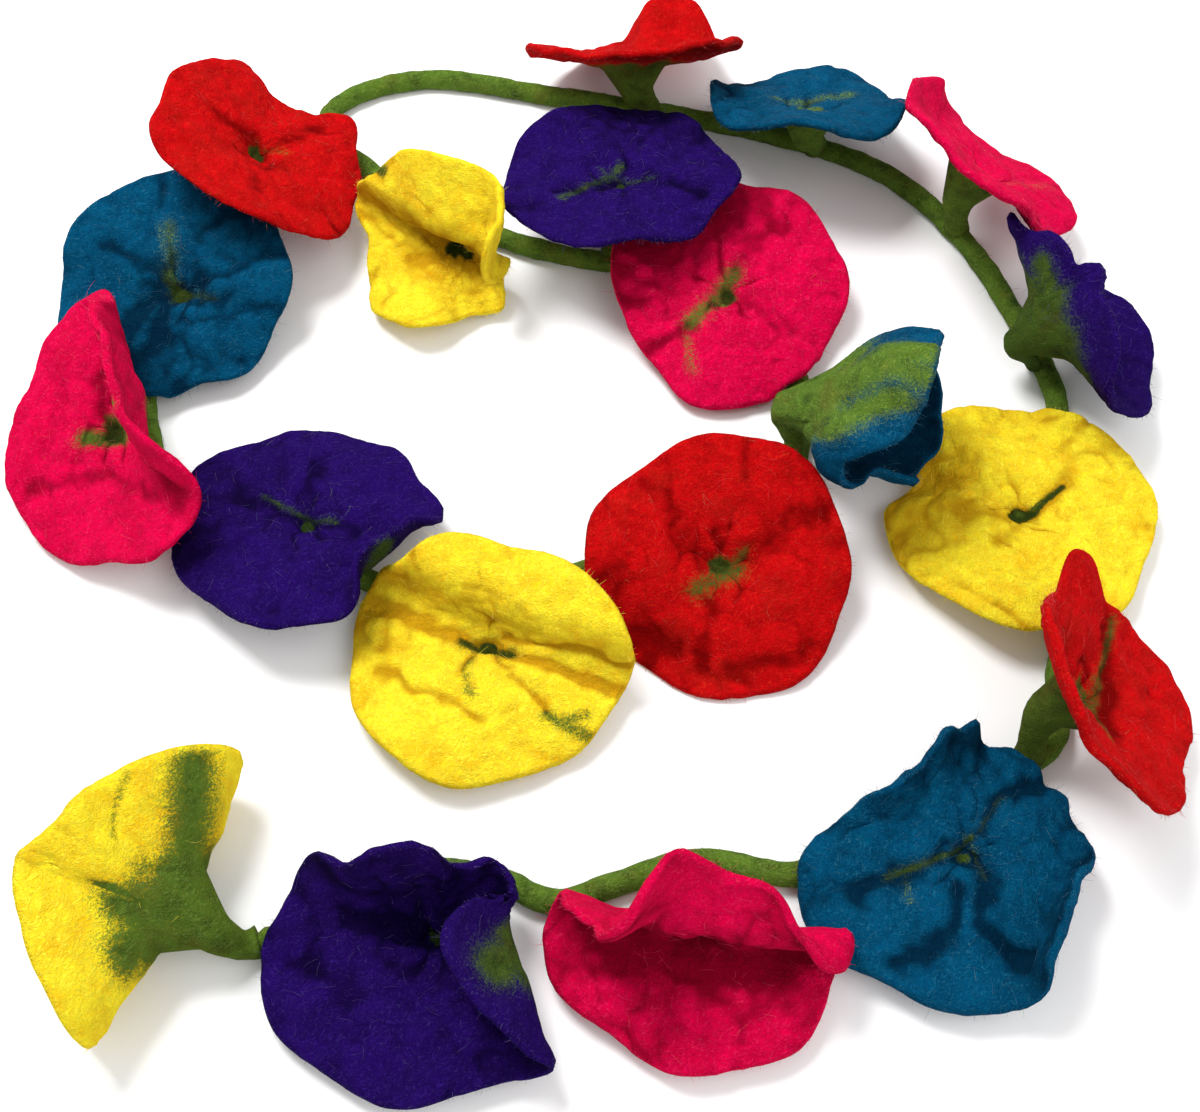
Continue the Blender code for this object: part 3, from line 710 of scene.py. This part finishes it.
def stalk_rings(place, normal, cord, seed):
    """Rings of the calyx and stalk, from behind the throat into the cord."""
    throat = place[0].mean(axis=0)
    axis = unit(normal[1:AXIS_LINES].mean(axis=(0, 1)))
    across = place[ACROSS_LINE, 0] - throat
    across = unit(across - axis * (across @ axis))
    calyx = place[CALYX_LINE] - throat
    calyx = calyx - (calyx @ axis)[:, None] * axis
    calyx_radius = CALYX_SHARE * np.linalg.norm(calyx, axis=1).mean()
    start = throat - axis * FELT / 2
    end, toward = stalk_seat(throat, axis, cord)
    reach = np.linalg.norm(end - start)
    first = start - axis * reach * STALK_CURVE
    second = end + toward * reach * STALK_CURVE
    share = np.linspace(0, 1, STALK_STEPS + 1)[:, None]
    path = ((1 - share) ** 3 * start + 3 * (1 - share) ** 2 * share * first
            + 3 * (1 - share) * share ** 2 * second + share ** 3 * end)
    path[1:-1, 2] = np.maximum(path[1:-1, 2], STALK_RADIUS)
    tangents = np.gradient(path, axis=0)
    tangents[-1] = -toward
    turns = np.arange(FELT_TURNS)[:, None] * math.tau / FELT_TURNS
    rings = []
    wavelength, height = STALK_LUMPS
    frame_x, frame_y, before = Vector(across), Vector(np.cross(axis, across)), Vector(-axis)
    for step in range(1, STALK_STEPS + 1):
        tangent = Vector(tangents[step]).normalized()
        bend = before.rotation_difference(tangent)
        frame_x.rotate(bend)
        frame_y.rotate(bend)
        before = tangent
        if step < FIRST_RING or step % 2:
            continue
        done = step / STALK_STEPS
        flare = 1 + (WELD_FLARE - 1) * ease((done - (1 - WELD_LENGTH)) / WELD_LENGTH)
        radius = STALK_RADIUS * flare + max(calyx_radius - STALK_RADIUS, 0) * (1 - done) ** 2
        outward = np.cos(turns) * np.array(frame_x) + np.sin(turns) * np.array(frame_y)
        ring = path[step] + radius * outward
        ring = ring + outward * (noise_at(ring / MM, wavelength, seed) * height * MM)[:, None]
        ahead = (ring - throat) @ axis + FELT / 2 + RING_GAP * (1 + len(rings))
        ring = ring - np.maximum(ahead, 0)[:, None] * axis
        ring[:, 2] = np.maximum(ring[:, 2], STALK_CLEARANCE)
        rings.append(ring)
    return rings


def greenness(stains, flat, front, seed):
    """How green the felt is on one side: throat and calyx, and the stains of that side."""
    out = np.hypot(flat[..., 0], flat[..., 1])
    ragged = sum(noise_at(flat, wavelength, seed + EDGE_SEED + step) * height
                 for step, (wavelength, height) in enumerate(GREEN_EDGE))
    most, reach = (FRONT_GREEN, THROAT_GREEN[seed]) if front else (1.0, CALYX_GREEN[seed])
    green = most * (1 - ease((out + ragged - reach * GREEN_SOLID) / (reach * GREEN_FADE)))
    for stain in stains:
        if stain.front == front:
            green = np.maximum(green, stain.strength * under_streak(flat, stain))
    return green


def add(name, data):
    """A new object with its data, in the scene."""
    thing = bpy.data.objects.new(name, data)
    bpy.context.scene.collection.objects.link(thing)
    return thing


def mesh_from(name, points, faces, material, **kept):
    """A piece above the floor that rides the root, with the values its points keep, by kind."""
    points[:, 2] = np.maximum(points[:, 2], FLOOR_CLEARANCE)
    mesh = bpy.data.meshes.new(name)
    mesh.from_pydata(points.tolist(), [], faces)
    for kind, values in kept.items():
        attribute = mesh.attributes.new(kind, "FLOAT", "POINT")
        attribute.data.foreach_set("value", np.asarray(values, dtype=np.float32))
    mesh.shade_smooth()
    mesh.materials.append(material)
    piece = add(name, mesh)
    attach(piece, "root")
    return piece


def lofted_faces(count, levels):
    """Faces of a closed form: a fan on point 0, rings of count points, a fan on the last point."""
    faces = [(0, 1 + i, 1 + (i + 1) % count) for i in range(count)]
    for level in range(levels - 1):
        base = 1 + level * count
        faces += [(base + i, base + count + i, base + count + (i + 1) % count,
                   base + (i + 1) % count) for i in range(count)]
    base, last = 1 + (levels - 1) * count, 1 + levels * count
    faces += [(base + i, last, base + (i + 1) % count) for i in range(count)]
    return faces


def tubes(paths, radius, sides=3):
    """Points and faces of thin closed tubes along an array of paths."""
    count, steps = paths.shape[:2]
    tangent = np.gradient(paths, axis=1)
    tangent = tangent / np.maximum(np.linalg.norm(tangent, axis=-1, keepdims=True), TINY)
    lies = np.abs(tangent[..., 2:]) < NEARLY_UPRIGHT
    helper = np.where(lies, (0.0, 0.0, 1.0), (1.0, 0.0, 0.0))
    across = unit(np.cross(tangent, helper))
    third = np.cross(tangent, across)
    turns = np.arange(sides) * math.tau / sides
    taper = 1 - FIBRE_TAPER * np.linspace(0, 1, steps)[None, :, None, None] ** 2
    ring = (across[:, :, None] * np.cos(turns)[None, None, :, None]
            + third[:, :, None] * np.sin(turns)[None, None, :, None])
    points = paths[:, :, None] + ring * radius * taper
    faces = []
    for tube in range(count):
        base = tube * steps * sides
        for step in range(steps - 1):
            for side in range(sides):
                a, b = base + step * sides + side, base + step * sides + (side + 1) % sides
                faces.append((a, b, b + sides, a + sides))
        faces.append(tuple(base + side for side in reversed(range(sides))))
        faces.append(tuple(base + (steps - 1) * sides + side for side in range(sides)))
    return points.reshape(-1, 3), faces


def fibre_paths(place, normal, half, rng):
    """Paths of fibres that lie loose on the felt, and of short ones that stand out of its rim."""
    steps = np.linspace(0, 1, STRAY_POINTS)[None, :, None]
    row = rng.integers(STRAY_LINE, FELT_STEPS, STRAY_FIBRES)
    column = rng.integers(0, FELT_TURNS, STRAY_FIBRES)
    side = rng.choice(STRAY_SIDES, STRAY_FIBRES)[:, None]
    up = normal[row, column] * side
    start = place[row, column] + up * half[row, column][:, None]
    tangent = unit(np.cross(up, rng.normal(size=(STRAY_FIBRES, 3))))
    sideways = np.cross(tangent, up)
    length = rng.uniform(*STRAY_LENGTH, STRAY_FIBRES)[:, None, None] * MM
    curl = rng.uniform(-STRAY_CURL, STRAY_CURL, STRAY_FIBRES)[:, None, None]
    stand = rng.uniform(*STRAY_STAND, STRAY_FIBRES)[:, None, None]
    strays = start[:, None] + length * (tangent[:, None] * steps + sideways[:, None] * curl
                                        * steps ** 2 + up[:, None] * stand * steps)
    column = rng.integers(0, FELT_TURNS, RIM_FIBRES)
    outward = unit(place[-1, column] - place[RIM_LINE - 1, column])
    outward = outward + rng.normal(scale=RIM_LEAN, size=(RIM_FIBRES, 3))
    length = rng.gamma(*RIM_LENGTH, RIM_FIBRES)[:, None, None] * MM
    aside = rng.uniform(-RIM_ASIDE, RIM_ASIDE, RIM_FIBRES) * half[RIM_LINE, column]
    start = place[RIM_LINE, column] + normal[RIM_LINE, column] * aside[:, None]
    steps = np.array((0.0, 1.0))[None, :, None]
    rims = start[:, None] + outward[:, None] * (RIM_GAP + length * steps)
    return strays, rims


def loose_fibres(name, groups, material):
    """One piece made of thin closed tubes along every path of every group."""
    points, faces, count = [], [], 0
    for paths, radius in groups:
        tube_points, tube_faces = tubes(paths, radius)
        faces += [tuple(index + count for index in face) for face in tube_faces]
        points.append(tube_points)
        count += len(tube_points)
    return mesh_from(name, np.vstack(points), faces, material)


def make_flower(flower, cord, tree, materials, seed):
    """One flower: its front, back, calyx and stalk as one closed felt, and its loose fibres."""
    place, normal, half, painted_shade_front, painted_shade_back = felt_grid(flower, cord, tree, seed)
    flat = flat_places(flower)[2]
    stains = streaks_on(STAINS.get(seed + 1, ()), place, normal, flat)
    green_front = greenness(stains, flat, True, seed)
    green_back = greenness(stains, flat, False, seed)
    colour = flower.name.split("_")[-1]
    plain = np.zeros(FELT_TURNS)
    # Each point keeps how green it is and its painted shade in creases, hollows and under other
    # felt
    levels = [(place[row] + normal[row] * half[row][:, None], green_front[row], painted_shade_front[row])
              for row in range(1, FELT_STEPS)]
    levels.append((place[-1], (green_front[-1] + green_back[-1]) / 2, plain))
    levels += [(place[row] - normal[row] * half[row][:, None], green_back[row], painted_shade_back[row])
               for row in range(FELT_STEPS - 2, CALYX_LINE - 1, -2)]
    levels += [(ring, plain + 1, plain) for ring in stalk_rings(place, normal, cord, seed)]
    rings, greens, dents_and_shade = zip(*levels)
    points = np.vstack((place[0].mean(axis=0) + normal[0].mean(axis=0) * half[0, 0],
                        *rings, rings[-1].mean(axis=0)))
    greens = np.concatenate((green_front[0, :1], *greens, (1,)))
    dents_and_shade = np.concatenate((painted_shade_front[0, :1], *dents_and_shade, (0,)))
    faces = lofted_faces(FELT_TURNS, len(rings))
    piece = mesh_from(flower.name + "_felt", points, faces, materials[colour], green=greens,
                      dent=dents_and_shade)
    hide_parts(flower.name)
    rng = np.random.default_rng(FLOWER_FIBRE_SEED + seed)
    strays, rims = fibre_paths(place, normal, half, rng)
    fibres = loose_fibres(flower.name + "_fibres",
                          ((strays, STRAY_RADIUS), (rims, FIBRE_RADIUS)),
                          materials[colour + " fibre"])


def make_cord(material, fibre):
    """The felted cord: a lumpy tube, a little flattened where it lies on the floor."""
    line = cord_points(TUBE_POINTS)
    along = np.linspace(0, 1, TUBE_POINTS)[:, None]
    tangent = unit(np.gradient(line, axis=0))
    sideways = np.cross(tangent, (0, 0, 1.0))
    turns = (np.arange(TUBE_SIDES) * math.tau / TUBE_SIDES)[None, :, None]
    outward = sideways[:, None] * np.cos(turns) - np.array((0, 0, 1.0)) * np.sin(turns)
    radius = np.full((TUBE_POINTS, TUBE_SIDES), CORD_DIAMETER / 2)
    ring = line[:, None] + outward * radius[..., None]
    for wavelength, height in CORD_LUMPS:
        radius = radius + noise_at(ring / MM, wavelength, CORD_LUMP_SEED) * height * MM
    steep, narrowest = CORD_END
    ends = np.minimum(along, 1 - along) * steep
    radius = radius * np.sqrt(np.clip(ends, narrowest, 1))
    ring = line[:, None] + outward * radius[..., None]
    ring[..., 2] = np.maximum(ring[..., 2], FLOOR_CLEARANCE)
    points = np.vstack((line[:1], ring.reshape(-1, 3), line[-1:]))
    faces = lofted_faces(TUBE_SIDES, TUBE_POINTS)
    piece = mesh_from("cord_felt", points, faces, material)
    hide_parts("cord")
    rng = np.random.default_rng(CORD_FIBRE_SEED)
    spot = rng.integers(0, TUBE_POINTS, CORD_FIBRES)
    side = rng.integers(0, TUBE_SIDES, CORD_FIBRES)
    lean = rng.normal(scale=CORD_FIBRE_LEAN, size=CORD_FIBRES)[:, None, None]
    steps = np.linspace(0, 1, CORD_FIBRE_POINTS)[None, :, None]
    length = rng.gamma(*CORD_FIBRE_LENGTH, CORD_FIBRES)[:, None, None] * MM
    stand = np.broadcast_to(outward, ring.shape)[spot, side][:, None] * (steps - 0.5 * steps ** 2)
    bend = rng.normal(scale=CORD_FIBRE_BEND, size=(CORD_FIBRES, 1, 3)) * steps ** 2
    paths = (ring[spot, side][:, None]
             + length * (stand * CORD_FIBRE_STAND + tangent[spot][:, None] * lean * steps + bend))
    fibres = loose_fibres("cord_fibres", ((paths, FIBRE_RADIUS),), fibre)


class Shader:
    """Short calls for making the nodes of one material."""

    def __init__(self, name):
        self.material = bpy.data.materials.new(name)
        self.material.use_nodes = True
        self.tree = self.material.node_tree
        self.surface = self.tree.nodes["Principled BSDF"]
        self.place = self.tree.nodes.new("ShaderNodeTexCoord").outputs["Object"]

    def feed(self, socket, value):
        """Link a socket to another, or set it to a value."""
        if isinstance(value, bpy.types.NodeSocket):
            self.tree.links.new(value, socket)
        else:
            socket.default_value = value

    def surface_values(self, values):
        for name, value in values.items():
            self.surface.inputs[name].default_value = value

    def node(self, kind, inputs, **settings):
        """A node of one kind, with its settings, and its inputs fed by name or number."""
        node = self.tree.nodes.new("ShaderNode" + kind)
        for name, value in settings.items():
            setattr(node, name, value)
        for key, value in inputs.items():
            self.feed(node.inputs[key], value)
        return node

    def attribute(self, name):
        """A value that the mesh keeps for each of its points."""
        return self.node("Attribute", {}, attribute_name=name).outputs["Fac"]

    def maths(self, operation, first, second):
        return self.node("Math", {0: first, 1: second}, operation=operation).outputs[0]

    def times(self, value, factor):
        return self.maths("MULTIPLY", value, factor)

    def fog(self, wavelength, detail, roughness=0.55):
        """Cloudy noise from 0 to 1 with a wavelength in millimetres."""
        inputs = {"Vector": self.place, "Scale": 1 / (wavelength * MM), "Detail": detail,
                  "Roughness": roughness}
        return self.node("TexNoise", inputs).outputs["Fac"]

    def spread(self, value, low, high):
        """A value stretched so that low becomes 0 and high becomes 1."""
        inputs = {"Value": value, "From Min": low, "From Max": high}
        return self.node("MapRange", inputs, interpolation_type="SMOOTHSTEP").outputs["Result"]

    def mix(self, share, first, second):
        """The first colour, with a share of it given over to the second."""
        node = self.node("Mix", {"Factor": share}, data_type="RGBA")
        colours = [socket for socket in node.inputs if socket.type == "RGBA"]
        for socket, value in zip(colours, (first, second)):
            self.feed(socket, value if isinstance(value, bpy.types.NodeSocket) else (*value, 1))
        return [socket for socket in node.outputs if socket.type == "RGBA"][0]

    def streaks(self):
        """Thin crossing streaks, as of matted wool, from 0 to 1."""
        warp = self.node("TexNoise", {"Vector": self.place, "Scale": 1 / (STREAK_BEND * MM)})
        push = self.node("VectorMath", {0: warp.outputs["Color"], 1: (STREAK_SWAY * MM,) * 3,
                                        2: self.place}, operation="MULTIPLY_ADD")
        found = None
        for turn in STREAK_TURNS:
            inputs = {"Vector": push.outputs[0], "Rotation": [math.radians(a) for a in turn],
                      "Scale": [side * MM for side in STREAK_SIZE]}
            mapping = self.node("Mapping", inputs, vector_type="TEXTURE")
            inputs = {"Vector": mapping.outputs["Vector"], "Scale": 1.0, "Detail": 1.0}
            grain = self.node("TexNoise", inputs)
            lines = self.spread(grain.outputs["Fac"], *STREAK_RANGE)
            found = lines if found is None else self.maths("MAXIMUM", found, lines)
        return found


def frayed(shader, value, streaks, speckles):
    """A value that the streaks and the speckles of the wool make uneven."""
    pairs = ((streaks, FRAYED_BY_STREAKS), (speckles, FRAYED_BY_SPECKLES))
    for pattern, (middle, share) in pairs:
        off = shader.maths("SUBTRACT", pattern, middle)
        value = shader.maths("ADD", value, shader.times(off, share))
    return value


def flower_wool(shader, wool, streaks, speckles, accent, green):
    """A flower's colour, with blotches, crossing fibres, the mesh's green and its painted shade."""
    blotches = shader.spread(shader.fog(*BLOTCHES), *BLOTCH_RANGE)
    colour = shader.mix(blotches, wool.dark, wool.main)
    colour = shader.mix(BLOTCH_CALM, colour, wool.main)
    colour = shader.mix(shader.times(accent, wool.accent_share), colour, wool.accent)
    dark = shader.times(shader.spread(speckles, *SPECKLE_RANGE), SPECKLE_SHARE)
    colour = shader.mix(dark, colour, wool.dark)
    colour = shader.mix(shader.times(streaks, STREAK_SHARE), colour, wool.light)
    there = shader.attribute("green")
    stain = shader.spread(frayed(shader, there, streaks, speckles), *STAIN_RANGE)
    # Darker green wool on all but the teal flowers, partly painted shade
    green = shader.mix(wool.green_dark, green, GREEN_DEEP)
    colour = shader.mix(stain, colour, green)
    # Painted shade: creased, hollow and covered places turn toward the wool's deep colour
    deep = shader.mix(shader.spread(there, *DEEP_RANGE), wool.deep, GREEN_DEEP)
    dent = shader.spread(shader.attribute("dent"), *DENT_RANGE)
    return shader.mix(shader.times(dent, DENT_SHARE), colour, deep)


def felt_material(name, wool, all_green=False):
    """Matted wool of a flower, or green wool alone with only its sheen from the wool given."""
    shader = Shader(name)
    speckles = shader.fog(*SPECKLES)
    streaks = shader.streaks()
    accent = shader.spread(shader.fog(*ACCENTS), *ACCENT_RANGE)
    blotches = shader.spread(shader.fog(*GREEN_BLOTCHES), *GREEN_RANGE)
    colour = shader.mix(blotches, GREEN_DARK, GREEN_MAIN)
    colour = shader.mix(shader.times(streaks, GREEN_STREAK_SHARE), colour, GREEN_LIGHT)
    colour = shader.mix(shader.times(accent, OLIVE_SHARE), colour, OLIVE)
    if not all_green:
        colour = flower_wool(shader, wool, streaks, speckles, accent, colour)
    shader.feed(shader.surface.inputs["Base Color"], colour)
    shader.surface_values(FELT_SURFACE)
    shader.surface.inputs["Sheen Tint"].default_value = (*wool.light, 1)
    height = shader.maths("ADD", shader.times(streaks, STREAK_HEIGHT),
                          shader.times(speckles, SPECKLE_HEIGHT))
    height = shader.maths("ADD", height, shader.times(shader.fog(*BUMPS), BUMP_HEIGHT))
    bump = shader.node("Bump", {"Strength": 1.0, "Distance": BUMP_DISTANCE, "Height": height})
    shader.feed(shader.surface.inputs["Normal"], bump.outputs["Normal"])
    return shader.material


def fibre_material(name, main, light):
    """Single loose fibres, lighter than the felt under them, with a few of green wool."""
    shader = Shader(name)
    green = shader.spread(shader.fog(*GREEN_FIBRES), *FIBRE_RANGE)
    green = shader.times(green, GREEN_FIBRE_SHARE)
    colour = shader.mix(shader.fog(*LIGHT_FIBRES), main, light)
    shader.feed(shader.surface.inputs["Base Color"], shader.mix(green, colour, GREEN_LIGHT))
    shader.surface_values(FIBRE_SURFACE)
    return shader.material


def make_stage():
    """A pale floor, soft light from above and the camera at the photograph's angle."""
    world = bpy.data.worlds.new("studio")
    world.use_nodes = True
    world.node_tree.nodes["Background"].inputs["Color"].default_value = (1, 1, 1, 1)
    world.node_tree.nodes["Background"].inputs["Strength"].default_value = WORLD_STRENGTH
    bpy.context.scene.world = world
    mesh = bpy.data.meshes.new("floor")
    square = ((-1, -1), (1, -1), (1, 1), (-1, 1))
    corners = [(x * FLOOR_REACH, y * FLOOR_REACH, 0) for x, y in square]
    mesh.from_pydata(corners, [], [(0, 1, 2, 3)])
    floor = add("floor", mesh)
    shader = Shader("pale_paper")
    paper = shader.mix(shader.fog(*PAPER_CLOUDS), *PAPER)
    shader.feed(shader.surface.inputs["Base Color"], paper)
    shader.surface_values(PAPER_SURFACE)
    mesh.materials.append(shader.material)
    for light_name, place, size, power in LIGHTS:
        light = bpy.data.lights.new(light_name, "AREA")
        light.size = size
        light.energy = power
        lamp = add(light_name, light)
        lamp.location = place
        lamp.rotation_euler = (-Vector(place)).to_track_quat("-Z", "Y").to_euler()
    camera = add("camera", bpy.data.cameras.new("camera"))
    camera.data.sensor_width = SENSOR
    camera.data.lens = SENSOR * CAMERA_FOCUS / PHOTO_WIDTH
    camera.data.clip_start = NEAREST_SEEN
    camera.location = CAMERA_BACK * CAMERA_DISTANCE - MIDDLE
    camera.rotation_euler = Vector(-CAMERA_BACK).to_track_quat("-Z", "Y").to_euler()
    bpy.context.scene.camera = camera
    bpy.context.scene.view_settings.view_transform = "Standard"


def main():
    """The stage, every wool, the cord and the flowers."""
    make_stage()
    felts = {colour: felt_material(colour + "_wool", wool) for colour, wool in WOOLS.items()}
    for colour, wool in WOOLS.items():
        felts[colour + " fibre"] = fibre_material(colour + "_loose_wool", wool.main, wool.light)
    make_cord(felt_material("green_wool", WOOLS["teal"], all_green=True),
              fibre_material("green_loose_wool", GREEN_MAIN, GREEN_LIGHT))
    cord = between(cord_points(CORD_POINTS), CORD_POINTS * CORD_FINER)
    tree = solids_tree()
    for seed, flower in enumerate(FLOWERS):
        make_flower(flower, cord, tree, felts, seed)


main()
